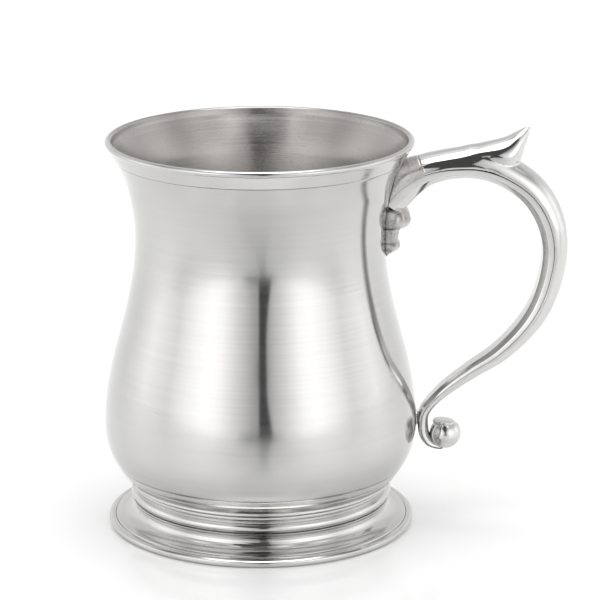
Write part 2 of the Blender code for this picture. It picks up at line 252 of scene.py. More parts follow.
@dataclass(frozen=True)
class Finish:
    """One pewter finish, worked by hand or on the lathe."""

    name: str
    slot: str
    grain: Grain
    tone: tuple[float, float, float]
    roughness: float
    anisotropy: float = 0.0
    streaks: float = 0.05
    smudges: float = 0.04
    shade_change: float = 0.05
    bump: float = 0.05
    pits: float = 0.0
    wear: float = 0.10
    line_scale: float = 4200.0
    around_scale: float = 22.0
    rubbed: float = 0.0
    rubbed_height: Pair = (0.098, 0.110)

    def material(self) -> bpy.types.Material:
        """The finish as a material, made once.

        Returns:
            The material.
        """
        ready = bpy.data.materials.get(self.name)
        if ready:
            return ready
        nodes = Nodes(self.name)
        shader = nodes.shader
        shader.inputs["Metallic"].default_value = 1.0
        shader.inputs["Anisotropic"].default_value = self.anisotropy
        place = nodes.add("TexCoord").outputs["Object"]
        streak = self.streak(nodes, place)
        smudge = nodes.noise(place, SMUDGE_SCALE, 4.0, 0.6)
        speck = nodes.noise(place, SPECK_SCALE, 3.0, 0.6)
        self.colour(nodes, streak, smudge)
        self.polish(nodes, streak, smudge, speck)
        self.relief(nodes, streak, speck)
        if self.anisotropy:
            shader.inputs["Anisotropic Rotation"].default_value = QUARTER_TURN
            nodes.link(nodes.add("Tangent", direction_type="RADIAL", axis="Z").outputs[0], "Tangent")
        return nodes.material

    def streak(self, nodes: Nodes, place: Socket) -> Socket:
        """The marks of the work.

        Args:
            nodes: the tree to add to.
            place: the object's own coordinates.

        Returns:
            A value about one half, streaked along the direction of the work.
        """
        if self.grain is Grain.CAST:
            return nodes.noise(place, CAST_SCALE, 5.0, 0.65)
        run = nodes.add("UVMap", uv_map="work").outputs[0]
        across = nodes.add("SeparateXYZ", {0: run}).outputs["Y"]
        spot = nodes.add("SeparateXYZ", {0: place})
        joined = nodes.add("CombineXYZ", {
            "X": nodes.math("MULTIPLY", spot.outputs["X"], self.around_scale),
            "Y": nodes.math("MULTIPLY", spot.outputs["Y"], self.around_scale),
            "Z": nodes.math("MULTIPLY", across, self.line_scale),
        }).outputs[0]
        fine = nodes.noise(joined, 1.0, 4.0, 0.7)
        broad = nodes.noise(joined, 0.17, 2.0, 0.5)
        return nodes.math("ADD", nodes.math("MULTIPLY", fine, 0.6), nodes.math("MULTIPLY", broad, 0.4))

    def colour(self, nodes: Nodes, streak: Socket, smudge: Socket) -> None:
        """Vary the metal's tone with the marks, and lighten worn edges.

        Args:
            nodes: the tree to add to.
            streak: the marks of the work.
            smudge: the marks of handling.
        """
        dark = tuple(c * (1 - self.shade_change) for c in self.tone) + (1.0,)
        light = tuple(min(1.0, c * (1 + self.shade_change)) for c in self.tone) + (1.0,)
        lined, handled = nodes.math("MULTIPLY", streak, 0.75), nodes.math("MULTIPLY", smudge, 0.25)
        both = nodes.math("ADD", lined, handled)
        mix = nodes.add("Mix", {"Factor": nodes.spread(both, 0.0, 1.0, 0.36, 0.64), 6: dark, 7: light},
                        data_type="RGBA")
        edge = nodes.spread(nodes.add("NewGeometry").outputs["Pointiness"], 0.0, self.wear, 0.52, 0.60)
        worn = nodes.add("Mix", {"Factor": edge, 6: mix.outputs[2], 7: WORN_TONE},
                         data_type="RGBA")
        nodes.link(worn.outputs[2], "Base Color")

    def polish(self, nodes: Nodes, streak: Socket, smudge: Socket,
               speck: Socket) -> None:
        """Vary the roughness with the marks, with handling and with fine specks.

        Args:
            nodes: the tree to add to.
            streak: the marks of the work.
            smudge: the marks of handling.
            speck: the fine specks.
        """
        lined = nodes.spread(streak, -self.streaks, self.streaks, 0.35, 0.65)
        handled = nodes.spread(smudge, -self.smudges, self.smudges)
        dotted = nodes.spread(speck, 0.0, self.smudges * 0.6, 0.55, 0.75)
        total = nodes.math("ADD", nodes.math("ADD", lined, handled), dotted)
        if self.rubbed:
            height = nodes.add("SeparateXYZ", {0: nodes.add("TexCoord").outputs["Object"]}).outputs["Z"]
            rubbed = nodes.spread(height, 0.0, self.rubbed, *self.rubbed_height)
            total = nodes.math("SUBTRACT", total, rubbed)
        total = nodes.math("ADD", total, self.roughness)
        nodes.link(nodes.math("MAXIMUM", total, LEAST_ROUGHNESS), "Roughness")

    def relief(self, nodes: Nodes, streak: Socket, speck: Socket) -> None:
        """Raise the marks and, on cast metal, sink its pits.

        Args:
            nodes: the tree to add to.
            streak: the marks of the work.
            speck: the pits.
        """
        height = nodes.math("ADD", streak, nodes.math("MULTIPLY", speck, self.pits))
        bump = nodes.add("Bump", {"Height": height, "Strength": self.bump, "Distance": MARK_DEPTH})
        nodes.link(bump.outputs[0], "Normal")


SATIN = Finish("satin_pewter_turned", "satin_pewter", Grain.TURNED, (0.525, 0.52, 0.515), 0.125, 0.7,
               streaks=0.02, smudges=0.015, bump=0.03)
INSIDE = Finish("satin_pewter_inside", "satin_pewter", Grain.TURNED, (0.40, 0.387, 0.373), 0.24, 0.95,
                streaks=0.05, shade_change=0.09, bump=0.05)
MOUTH = Finish("rim_pewter_turned", "rim_pewter", Grain.TURNED, (0.545, 0.54, 0.535), 0.15, 0.5)
BRIGHT = Finish("polished_pewter_turned", "polished_pewter", Grain.TURNED, (0.58, 0.573, 0.565), 0.09,
                streaks=0.03, smudges=0.02, bump=0.03)
UNDER = Finish("rough_pewter_turned", "polished_pewter", Grain.TURNED, (0.52, 0.52, 0.51), 0.34,
               streaks=0.08, shade_change=0.1, bump=0.15)
HANDLE_BRIGHT = Finish("handle_pewter_polished", "handle_pewter", Grain.CAST, (0.61, 0.605, 0.60), 0.14,
                       streaks=0.02, smudges=0.02, shade_change=0.03, bump=0.015, rubbed=0.08)
CAST = Finish("cast_pewter_frosted", "cast_pewter", Grain.CAST, (0.58, 0.57, 0.555), 0.31,
              streaks=0.06, smudges=0.05, shade_change=0.07, bump=0.05, pits=0.2)
SOLDER = Finish("solder_dull", "solder", Grain.CAST, (0.36, 0.355, 0.35), 0.5,
                streaks=0.1, smudges=0.1, shade_change=0.2, bump=0.5, pits=1.0)


# --- Pieces ---


@dataclass(frozen=True)
class Draught:
    """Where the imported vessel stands, and how long one of its millimetres is in the frame."""

    axis_x: float
    unit: float

    @classmethod
    def from_frame(cls) -> Draught:
        """Read the axis from the foot's edge and the unit from the rim's height."""
        low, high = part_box("foot_edge")
        return cls((low.x + high.x) / 2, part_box("mouth_ring")[1].z / RIM_HEIGHT)

    def place(self, points: np.ndarray) -> np.ndarray:
        """Turn the maker's millimetres into the frame's metres."""
        return points * self.unit + np.array((self.axis_x, 0.0, 0.0))

    def piece(self, name: str, node: str, finish: Finish, points: np.ndarray, faces: np.ndarray,
              work: np.ndarray | None = None) -> Item:
        """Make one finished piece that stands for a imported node.

        Args:
            name: the piece's name.
            node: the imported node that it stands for.
            finish: its finish.
            points: its vertices in the maker's millimetres.
            faces: rows of vertex numbers.
            work: a work coordinate in metres for each corner of each face.

        Returns:
            The piece, riding on the body.
        """
        mesh = bpy.data.meshes.new(name)
        mesh.from_pydata(self.place(points).tolist(), [], faces.tolist())
        if work is not None:
            layer = mesh.uv_layers.new(name="work")
            layer.data.foreach_set("uv", work.astype(np.float32).ravel())
        bm = bmesh.new()
        bm.from_mesh(mesh)
        bmesh.ops.remove_doubles(bm, verts=bm.verts, dist=MERGE_DISTANCE)
        bmesh.ops.recalc_face_normals(bm, faces=bm.faces)
        bm.to_mesh(mesh)
        bm.free()
        mesh.shade_smooth()
        mesh.set_sharp_from_angle(angle=SHARP_ANGLE)
        mesh.materials.append(finish.material())
        item = placed(name, mesh)
        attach(item, BODY)
        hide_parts(node)
        LOG.info("%s stands for %s: %d faces", item.name, node, len(item.data.polygons))
        return item

    def turned(self, name: str, node: str, finish: Finish, outline: Sequence[Pair],
               turns: int = 256) -> Item:
        """Spin a closed outline of radius and height round the vessel's axis.

        Args:
            name: the piece's name.
            node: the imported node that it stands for.
            finish: its finish.
            outline: the section, as a closed loop.
            turns: steps round the axis.

        Returns:
            The piece.
        """
        line = np.array(outline, float)
        count = len(line)
        points = spun(line, circle(turns)).reshape(-1, 3)
        steps = np.linalg.norm(np.roll(line, -1, axis=0) - line, axis=1)
        run = np.concatenate([[0.0], np.cumsum(steps)]) * self.unit
        i, k = np.meshgrid(np.arange(turns), np.arange(count), indexing="ij")
        corners = ((0, 0), (1, 0), (1, 1), (0, 1))
        faces = np.stack([(i + a) % turns * count + (k + b) % count for a, b in corners], -1)
        work = np.stack([np.stack(((i + a) / turns, run[k + b]), -1) for a, b in corners], -2)
        return self.piece(name, node, finish, points, faces.reshape(-1, 4), work.reshape(-1, 2))

    def lofted(self, name: str, node: str, finish: Finish, rings: np.ndarray,
               clearance: float | None = None) -> Item:
        """Skin equal rings of points into one closed piece with flat ends.

        Args:
            name: the piece's name.
            node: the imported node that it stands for.
            finish: its finish.
            rings: rings by points by three coordinates.
            clearance: how far off the bell's wall it is cut back, if at all.

        Returns:
            The piece.
        """
        item = self.piece(name, node, finish, *skin(rings))
        close_ends(item)
        if clearance is not None:
            self.trim_to_bell(item, clearance)
        return item

    def trim_to_bell(self, item: Item, clearance: float) -> None:
        """Cut a piece back to the bell's wall.

        Args:
            item: the piece.
            clearance: how far off the wall it ends.
        """
        core, low, half_angle = 20.0, 14.0, 0.5
        outline = [(core, RIM_HEIGHT)] + Bell().line(RIM_HEIGHT, low, 140, -clearance) + [(core, low)]
        form = self.form("bell_form", spun(np.array(outline), np.linspace(-half_angle, half_angle, 81)))
        cut = item.modifiers.new("seat", "BOOLEAN")
        cut.object, cut.operation, cut.solver = form, "DIFFERENCE", "EXACT"
        apply_modifiers(item)
        bpy.data.objects.remove(form)

    def form(self, name: str, rings: np.ndarray) -> Item:
        """A closed loft that only shapes another piece.

        Args:
            name: the form's name.
            rings: rings by points by three coordinates.

        Returns:
            The form.
        """
        points, faces = skin(rings)
        mesh = bpy.data.meshes.new(name)
        mesh.from_pydata(self.place(points).tolist(), [], faces.tolist())
        item = placed(name, mesh)
        close_ends(item)
        return item


def placed(name: str, data: bpy.types.ID) -> Item:
    """Put a mesh or a camera into the scene."""
    item = bpy.data.objects.new(name, data)
    bpy.context.scene.collection.objects.link(item)
    return item


def skin(rings: np.ndarray) -> tuple[np.ndarray, np.ndarray]:
    """The points and side faces of a loft through equal rings."""
    rows, count = rings.shape[:2]
    i, k = np.meshgrid(np.arange(rows - 1), np.arange(count), indexing="ij")
    after = (k + 1) % count
    near, far = i * count, (i + 1) * count
    faces = np.stack([near + k, near + after, far + after, far + k], -1)
    return rings.reshape(-1, 3), faces.reshape(-1, 4)


def close_ends(item: Item) -> None:
    """Fill a mesh's open ends with flat faces."""
    bm = bmesh.new()
    bm.from_mesh(item.data)
    bmesh.ops.holes_fill(bm, edges=[e for e in bm.edges if e.is_boundary])
    bmesh.ops.recalc_face_normals(bm, faces=bm.faces)
    bm.to_mesh(item.data)
    bm.free()


def apply_modifiers(item: Item) -> None:
    """Keep the evaluated mesh of a piece as its own mesh."""
    graph = bpy.context.evaluated_depsgraph_get()
    mesh = bpy.data.meshes.new_from_object(item.evaluated_get(graph))
    item.modifiers.clear()
    item.data = mesh


@dataclass
class Vessel:
    """The spun bell, its mouth and its bottom."""

    draught: Draught
    bell: Bell = field(default_factory=Bell)
    wall: float = 1.5
    ring_line: float = 116.0
    cup_top: float = 20.0
    cup_bottom: float = 13.62
    floor_top: float = 16.0
    lap: float = 2.4
    seam: float = 0.04
    seam_edge: float = 0.05
    lip_reach: float = 1.02
    lip_rise: float = 0.95
    band_proud: float = 0.1

    def build(self) -> None:
        """Make the wall, the mouth and the bottom."""
        self.body_wall()
        self.mouth_ring()
        self.base_cup()

    def lap_line(self, low: float, high: float, side: float) -> list[Pair]:
        """The stepped lap between two pieces, at half the wall."""
        return self.bell.line(low, high, 3, self.wall / 2 + side * self.seam)

    def body_wall(self) -> Item:
        """The satin wall between the cup and the scribed line, brushed inside and out."""
        low, high, soft = self.cup_top + 0.005, self.ring_line - 0.02, self.seam_edge
        outer = [(self.bell.radius(high) - soft, high)]
        outer += self.bell.line(high - 0.12, low + soft, 190)
        outer += [(self.bell.radius(low) - soft, low)]
        skirt = self.lap_line(low, low + self.lap, 0.0)
        inner = self.bell.line(low + self.lap, self.ring_line + self.lap - 0.005, 170, self.wall)
        spigot = self.lap_line(self.ring_line + self.lap - 0.005, high, 1.0)
        item = self.draught.turned("bell_wall", "body_wall", SATIN, outer + skirt + inner + spigot)
        return self.lined(item)

    def lined(self, item: Item) -> Item:
        """Give the faces that look at the vessel's axis the inside's finish."""
        item.data.materials.append(INSIDE.material())
        centre = self.draught.axis_x
        for face in item.data.polygons:
            outward = Vector((face.center.x - centre, face.center.y))
            if face.normal.to_2d().dot(outward) < 0:
                face.material_index = 1
        return item

    def mouth_ring(self) -> Item:
        """The band at the mouth: scribed line, plain band, and a rolled lip."""
        bottom, shoulder, proud = self.ring_line + self.seam, self.ring_line + self.lap, self.band_proud
        outer = [(self.bell.radius(bottom) - 0.06, bottom - 0.02),
                 (self.bell.radius(bottom + 0.2) + proud * 0.6, bottom + 0.16)]
        outer += self.bell.line(bottom + 0.3, RIM_HEIGHT - 1.9, 12, -proud)
        height = RIM_HEIGHT - self.lip_rise
        centre = self.bell.radius(height) - self.lip_reach + 0.12
        lip_arc = [(centre + self.lip_reach * math.cos(a), height + self.lip_rise * math.sin(a))
                   for a in (math.radians(d) for d in range(-50, 181, 10))]
        inner = self.bell.line(RIM_HEIGHT - 2.2, shoulder, 10, self.wall)
        skirt = self.lap_line(shoulder, bottom, 0.0)
        return self.lined(self.draught.turned("mouth_band", "mouth_ring", MOUTH,
                                              outer + lip_arc + inner + skirt))

    def base_cup(self) -> Item:
        """The bottom: turned rings outside, a brushed floor inside, a spigot up into the wall."""
        bell, top = self.bell, self.cup_top - 0.005
        outer = filleted([
            (bell.radius(top), top, 0), (bell.radius(top - 0.2), top - 0.2, 0.1),
            (44.65, 19.1, 2.0), (43.75, 17.55, 0.15), (42.9, 16.75, 2.0), (41.9, 15.35, 0.12),
            (41.35, 15.0, 0.15), (41.45, 14.4, 0.25), (40.95, 13.95, 0.12), (40.6, 13.72, 0),
        ])
        under = [(38.7, self.cup_bottom), (0.0, self.cup_bottom)]
        lap = self.cup_top + self.lap
        floor = filleted([(0.0, self.floor_top, 0), (35.0, self.floor_top, 3.0),
                          (bell.radius(19.6) - self.wall, 19.0, 2.5),
                          (bell.radius(lap) - self.wall, lap, 0)], 8)
        spigot = self.lap_line(lap, top, 1.0)
        item = self.draught.turned("cup_base", "base_cup", BRIGHT, outer + under + floor + spigot)
        for lining in (INSIDE, UNDER):
            item.data.materials.append(lining.material())
        for face in item.data.polygons:
            height = face.center.z / self.draught.unit
            if face.normal.z > 0.15 and height > self.floor_top - 0.5:
                face.material_index = 1
            elif face.normal.z < -0.98:
                face.material_index = 2
        return item


@dataclass
class Foot:
    """The moulded foot under the bell: solder, collar, spread and edge wire."""

    draught: Draught
    collar_top: float = 13.5
    collar_bottom: float = 8.25
    bore: float = 36.5
    fillet: float = 1.7
    throat_ripple: float = 0.03

    def build(self) -> None:
        """Make the foot's four pieces."""
        self.solder()
        self.collar()
        self.spread()
        self.edge()

    def solder(self) -> Item:
        """A fillet run round inside the foot, under the bottom."""
        top, reach = self.collar_top - 0.05, self.bore - 0.1
        toe = [(reach - self.fillet * (1 - math.sin(a)), top - self.fillet * (1 - math.cos(a)))
               for a in (math.radians(d) for d in range(0, 91, 10))]
        return self.draught.turned("floor_solder", "base_solder", SOLDER, toe + [(reach, top)])

    def collar(self) -> Item:
        """A small step under the crevice, then a full half-round."""
        half_round = [(39.25 + 1.4 * math.sin(a), 9.75 - 1.5 * math.cos(a))
                      for a in (math.radians(d) for d in range(158, 14, -6))]
        outer = filleted([(38.8, self.collar_top, 0), (40.35, self.collar_top, 0.15),
                          (40.3, 12.75, 0.3), (39.75, 12.2, 0.4), (39.5, 11.6, 0.3),
                          (39.45, 11.3, 0)], 4)
        close = [(40.1, self.collar_bottom + 0.05), (self.bore, self.collar_bottom + 0.05)]
        return self.draught.turned("collar_moulding", "foot_collar", BRIGHT,
                                   outer + half_round + close + [(self.bore, self.collar_top)])

    def spread(self) -> Item:
        """The scotia and the flange, with the fine lines that the tool left in the throat."""
        top = self.collar_bottom - 0.04
        sweep_line = []
        for degrees in range(0, 91, 3):
            a = math.radians(degrees)
            ripple = self.throat_ripple * math.cos(degrees / 9 * 2 * math.pi) if degrees < 50 else 0.0
            sweep_line.append((39.1 + 4.4 * (1 - math.cos(a)) + ripple, 5.9 - 3.15 * math.sin(a)))
        neck = filleted([(40.0, top, 0), (40.35, top - 0.1, 0.1), (40.2, 7.7, 0.15), (39.75, 7.45, 0.2),
                         (39.3, 6.9, 0.4), (39.12, 6.2, 0)], 4)
        flange = filleted([(43.5, 2.75, 0), (45.3, 2.55, 0.2), (45.55, 2.2, 0.1), (45.6, 1.2, 0)], 4)
        under = [(43.0, 1.3), (39.4, 2.2), (37.4, 4.6), (self.bore, top)]
        return self.draught.turned("foot_sweep", "foot_spread", BRIGHT,
                                   neck + sweep_line + flange + under)

    def edge(self) -> Item:
        """The wire round the edge, with a groove where it meets the flange."""
        lap, step = 45.65, 0.9
        outline = filleted([(lap, 2.15, 0), (45.85, 2.3, 0.15), (46.9, 2.3, 0.5), (47.65, 1.75, 0.6),
                            (47.65, 0.7, 0.6), (47.1, 0.0, 0.4), (43.6, 0.0, 0.2), (43.4, step, 0.1),
                            (lap, step, 0)], 6)
        return self.draught.turned("foot_wire", "foot_edge", BRIGHT, outline)


@dataclass
class Handle:
    """The hollow scroll handle: two halves soldered along their seam, a thumb rest and a ball."""

    draught: Draught
    wall: float = 1.2
    seam: float = 0.03
    shell_start: float = 3.0
    scroll_end: float = 22.8
    ball: tuple[float, float, float] = (57.7, 27.55, 4.9)
    lip_angle: float = 131.0
    lip_tilt: float = 7.0
    lip_shift: float = 0.9
    arch_fullness: float = 0.85
    least_hollow: float = 0.35
    casting_grain: float = 0.00027
    # The side seam: x, z, depth behind it, depth in front of it, half width.
    stations: Rows = (
        (38.9, 101.7, 4.0, 4.9, 4.9), (41.6, 105.3, 6.0, 5.4, 5.2), (45.6, 108.8, 6.7, 4.9, 5.9),
        (50.2, 111.4, 5.4, 4.1, 6.3), (55.0, 112.7, 5.2, 3.6, 6.5), (60.8, 113.2, 5.8, 3.2, 6.5),
        (67.5, 112.9, 7.1, 3.2, 6.5), (75.3, 110.2, 6.0, 3.2, 6.4), (83.1, 104.7, 5.6, 3.5, 6.3),
        (88.2, 96.6, 5.1, 3.6, 6.1), (90.1, 87.5, 4.6, 3.4, 5.9), (88.9, 77.9, 4.5, 3.1, 5.7),
        (85.9, 68.9, 4.3, 3.0, 5.4), (81.0, 61.2, 3.9, 2.8, 5.1), (73.6, 53.9, 3.5, 2.4, 4.8),
        (66.1, 49.0, 3.2, 1.9, 4.4), (58.2, 43.2, 2.8, 1.6, 4.0), (53.2, 38.4, 2.3, 1.3, 3.7),
        (50.5, 34.4, 2.3, 1.2, 3.5), (50.0, 30.4, 2.4, 1.0, 3.4), (50.6, 26.9, 2.3, 0.9, 3.2),
        (52.5, 24.2, 2.0, 0.7, 2.8), (55.2, 23.0, 1.6, 0.4, 2.2), (57.2, 22.8, 1.2, 0.15, 1.4),
    )
    # The thumb rest, root to tip: its front line, its back line and its half width.
    thumb_rest: Rows = (
        (62.0, 118.4, 62.5, 115.0, 4.8), (66.0, 119.9, 67.5, 114.2, 5.7),
        (70.0, 120.9, 72.5, 113.3, 6.0), (73.0, 121.6, 77.0, 112.6, 5.9),
        (75.5, 122.4, 79.4, 114.4, 5.2), (78.5, 124.0, 80.7, 118.2, 3.7),
        (80.9, 125.2, 81.8, 121.8, 1.9), (82.3, 125.5, 82.6, 125.0, 0.35),
    )

    # Where and how much the casting is smoothed: what fair takes after the piece.
    fairings: tuple[tuple[str, Row4, float, int], ...] = (
        ("fairing", (52.5, 56.0, 100.0, 101.0), 0.0, 14),
        ("blend", (54.0, 58.0, 70.0, 74.0), 108.0, 40),
    )

    def frame_at(self, t: float) -> tuple[np.ndarray, np.ndarray, float, float, float]:
        """Where the handle runs.

        Args:
            t: place along the handle, in stations.

        Returns:
            The seam point, the outward direction, and the depths and half width there.
        """
        x, z, back, front, half = catmull(self.stations, t)
        last, step = len(self.stations) - 1.0, 0.05
        ahead = catmull(self.stations, min(t + step, last))
        behind = catmull(self.stations, max(t - step, 0.0))
        along = np.array((ahead[0] - behind[0], ahead[1] - behind[1]))
        along /= np.linalg.norm(along)
        return np.array((x, 0.0, z)), np.array((-along[1], 0.0, along[0])), back, front, half

    def swept(self, start: float, end: float, steps: int,
              section: Callable[[float, float, float, float], list[Pair]]) -> np.ndarray:
        """Carry a section along the handle.

        Args:
            start: first place, in stations.
            end: last place.
            steps: number of rings.
            section: the ring's points, across and outward, from t and the sizes there.

        Returns:
            The rings.
        """
        rings = []
        for t in even(start, end, steps):
            seam, outward, back, front, half = self.frame_at(t)
            ring = np.array(section(t, back, front, half))
            rings.append(seam + ring[:, 1:2] * outward + ring[:, :1] * np.array((0.0, 1.0, 0.0)))
        return np.array(rings)

    def build(self) -> None:
        """Make the handle's pieces."""
        self.shell()
        self.strip()
        self.block()
        self.scroll_ball()

    def arch(self, half: float, rise: float, count: int, start: float) -> list[Pair]:
        """The rounded back, from one seam over to the other.

        Args:
            half: half its width.
            rise: its height in the middle.
            count: number of points.
            start: its height at the seams.

        Returns:
            Points across and outward.
        """
        line = []
        for i in range(count):
            a = math.pi * i / (count - 1)
            lift = max(0.0, math.sin(a)) ** self.arch_fullness
            line.append((half * math.cos(a), start + (rise - start) * lift))
        return line

    def shell(self) -> Item:
        """The outer half with its thumb rest, run together as one casting."""
        def section(t: float, back: float, front: float, half: float) -> list[Pair]:
            """The back's ring: over the outside and back along the hollow."""
            rise = max(back - self.wall, self.least_hollow)
            hollow = self.arch(half - self.wall, rise, 25, self.seam)
            return self.arch(half, back, 33, self.seam) + hollow[::-1]

        shell = self.draught.lofted("handle_shell", "handle_back", HANDLE_BRIGHT,
                                    self.swept(self.shell_start, self.scroll_end, 240, section))
        rest = self.rest_form()
        union = shell.modifiers.new("thumb_rest", "BOOLEAN")
        union.object, union.operation, union.solver = rest, "UNION", "EXACT"
        remesh = shell.modifiers.new("casting", "REMESH")
        remesh.mode, remesh.voxel_size = "VOXEL", self.casting_grain
        apply_modifiers(shell)
        bpy.data.objects.remove(rest)
        for name, reach, floor, rounds in self.fairings:
            self.fair(shell, name, reach, floor, rounds)
        apply_modifiers(shell)
        shell.data.shade_smooth()
        return shell

    def fair(self, item: Item, name: str, reach: Row4,
             floor: float, rounds: int) -> None:
        """Smooth a piece between two distances from the axis.

        Args:
            item: the piece.
            name: a name for the work.
            reach: where the smoothing starts, is full, begins to fade and has faded.
            floor: the height that it starts over.
            rounds: how many times each point moves toward its neighbours.
        """
        group = item.vertex_groups.new(name=name)
        for vertex in item.data.vertices:
            x = (vertex.co.x - self.draught.axis_x) / self.draught.unit
            share = smoothstep(x, reach[0], reach[1]) * (1 - smoothstep(x, reach[2], reach[3]))
            if vertex.co.z / self.draught.unit > floor:
                group.add([vertex.index], share, "REPLACE")
        smooth = item.modifiers.new(name, "SMOOTH")
        smooth.factor, smooth.iterations, smooth.vertex_group = 0.5, rounds, name

    def rest_form(self) -> Item:
        """The thumb rest's own solid, before it is run into the shell."""
        rings, angles = [], circle(40)
        for t in even(0.0, len(self.thumb_rest) - 1.0, 50):
            front_x, front_z, back_x, back_z, half = catmull(self.thumb_rest, t)
            front, back = np.array((front_x, 0.0, front_z)), np.array((back_x, 0.0, back_z))
            middle, reach = (front + back) / 2, (front - back) / 2
            ring = middle + np.outer(np.cos(angles), reach)
            power = np.where(np.cos(angles) < 0, self.side_power(t), 1.0)
            ring[:, 1] += max(half, 0.3) * np.sign(np.sin(angles)) * np.abs(np.sin(angles)) ** power
            rings.append(ring)
        return self.draught.form("rest_form", np.array(rings))

    @staticmethod
    def side_power(t: float) -> float:
        """How full the rest's lower side is: square where it runs into the strap, round at the tip."""
        return 0.5 + 0.5 * smoothstep(t, 2.5, 4.0)

    def strip(self) -> Item:
        """The inner strip: bevelled sides, a flat face and a tongue inside the shell."""
        def section(t: float, back: float, front: float, half: float) -> list[Pair]:
            """The strip's ring: round its face and back over its tongue."""
            tongue = half - self.wall - 0.1
            room = min(0.7, 0.45 * max(back - self.wall, self.least_hollow))
            lift = smoothstep(t, self.shell_start + 0.25, self.shell_start + 0.6) * room
            side = filleted([(half, -self.seam, 0), (half * 0.99, -front * 0.12, 0.2),
                             (half * 0.93, -front * 0.5, 1.0), (half * 0.62, -front, 0.8),
                             (0.0, -front, 0)], 5)
            other = [(-x, y) for x, y in side[::-1]][1:]
            inner = [(-tongue, -self.seam), (-tongue * 0.5, lift - self.seam),
                     (tongue * 0.5, lift - self.seam), (tongue, -self.seam)]
            return side + other + inner

        return self.draught.lofted("handle_strip", "handle_front", HANDLE_BRIGHT,
                                   self.swept(0.0, self.scroll_end, 260, section), 0.12)

    def block(self) -> Item:
        """The cast block at the upper joint, frosted."""
        def body(t: float, back: float, front: float, half: float) -> list[Pair]:
            """The block's ring: the rounded back, closed along the seam."""
            return self.arch(half - 0.05, back, 33, self.seam) + [(0.0, self.seam)]

        return self.draught.lofted("handle_block", "handle_root", CAST,
                                   self.swept(0.3, self.shell_start, 60, body), 0.2)

    def scroll_ball(self) -> Item:
        """The ball that the scroll ends in, with the flat lip left on its top."""
        x, z, radius = self.ball
        line = [(radius * math.sin(a), -radius * math.cos(a))
                for a in (math.radians(d) for d in even(0.0, self.lip_angle, 46))]
        neck_r, neck_z = line[-1]
        line += filleted([(neck_r, neck_z, 0), (neck_r - 0.1, neck_z + 0.12, 0.1),
                          (3.2, neck_z + 0.16, 0.15), (3.5, neck_z + 0.5, 0.3),
                          (3.3, neck_z + 0.9, 0.3), (2.0, neck_z + 1.1, 1.0), (0.0, neck_z + 1.15, 0)], 6)[1:]
        outline = np.array(line)
        rings = spun(outline, circle(96)).swapaxes(0, 1)
        rings[..., 0] += np.where(outline[:, 1:] > neck_z + 0.05, -self.lip_shift, 0.0)
        tilt = math.radians(self.lip_tilt)
        c, s = math.cos(tilt), math.sin(tilt)
        turn = np.array(((c, 0, s), (0, 1, 0), (-s, 0, c)))
        points, faces = skin(rings @ turn.T + np.array((x, 0.0, z)))
        return self.draught.piece("scroll_ball", "handle_ball", HANDLE_BRIGHT, points, faces)


